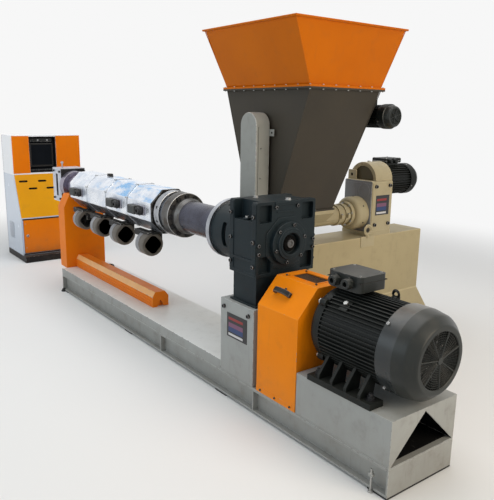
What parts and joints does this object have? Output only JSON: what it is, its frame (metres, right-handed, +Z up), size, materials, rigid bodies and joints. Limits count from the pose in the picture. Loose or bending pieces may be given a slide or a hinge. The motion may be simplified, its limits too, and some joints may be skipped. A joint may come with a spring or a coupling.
{
  "type": "granulating machine",
  "caption": "Free-standing plastics granulating machine: screw barrel with blowers on a skid, gearbox, motor, side feeder, hopper and control cabinet with a hinged door.",
  "frame": {"origin": "on the floor under the middle of the skid's pad at the die end, below the barrel axis", "axes": "+X along the barrel axis towards the main motor, +Y towards the side feeder, +Z up"},
  "size_m": [6.084, 2.234, 2.297],
  "materials": {
    "machine_grey": "semi-gloss machine enamel",
    "orange_paint": "semi-gloss orange enamel",
    "hopper_grey": "satin grey enamel",
    "light_grey": "satin light grey enamel",
    "beige_paint": "satin beige enamel",
    "cream_paint": "satin cream enamel",
    "gearbox_blue_grey": "painted casting, dark blue-grey",
    "motor_black": "satin near-black green enamel",
    "dark_steel": "oil-darkened steel",
    "bright_steel": "turned steel",
    "stainless_cladding": "bright stainless sheet",
    "die_plate": "ground steel plate",
    "blower_black": "satin black",
    "connector_black": "moulded connector housing",
    "window_mesh": "woven wire",
    "black_rubber": "levelling pad",
    "plinth_black": "black enamel",
    "cabinet_white": "white powder coat",
    "screen_glass": "black display window"
  },
  "bodies": {
    "machine": {"skid_rails": "machine_grey", "skid_cross_members": "machine_grey", "levelling_pads": "black_rubber", "deck_plate": "machine_grey", "bed_box": "machine_grey", "gearbox_pedestal": "machine_grey", "motor_plinth": "machine_grey", "barrel_core": "dark_steel", "cladding": "stainless_cladding", "barrel_clamp_ring": "bright_steel", "barrel_flange": "dark_steel", "feed_tube": "dark_steel", "lantern": "gearbox_blue_grey", "screw_shank": "bright_steel", "die_flange": "bright_steel", "die_block": "die_plate", "blowers": "blower_black", "connector_boxes": "connector_black", "barrel_support": "orange_paint", "cable_duct": "orange_paint", "gearbox_case": "gearbox_blue_grey", "gearbox_end_cap": "gearbox_blue_grey", "coupling": "dark_steel", "coupling_guard": "orange_paint", "guard_mesh": "window_mesh", "motor_end_bell": "motor_black", "motor_frame": "motor_black", "motor_fan_cover": "motor_black", "terminal_box": "motor_black", "feeder_base": "beige_paint", "feeder_gearbox": "beige_paint", "feeder_bell": "beige_paint", "feeder_motor": "motor_black", "feeder_drum": "cream_paint", "feeder_trough": "cream_paint", "feeder_screw": "bright_steel", "hopper_upper": "orange_paint", "hopper_lower": "hopper_grey", "agitator_shaft": "dark_steel", "agitator_drive": "motor_black", "chain_guard": "light_grey", "cabinet_plinth": "plinth_black", "cabinet_body": "cabinet_white", "cabinet_screen": "screen_glass"},
    "door": {"cabinet_door": "orange_paint"}
  },
  "joints": [
    {"name": "cabinet_door_hinge", "type": "hinge", "parent": "machine", "child": "door", "pos_m": [-1.416, 0.5765, 0.29], "axis": [0, 0, 1], "range_deg": [0, 110]}
  ]
}
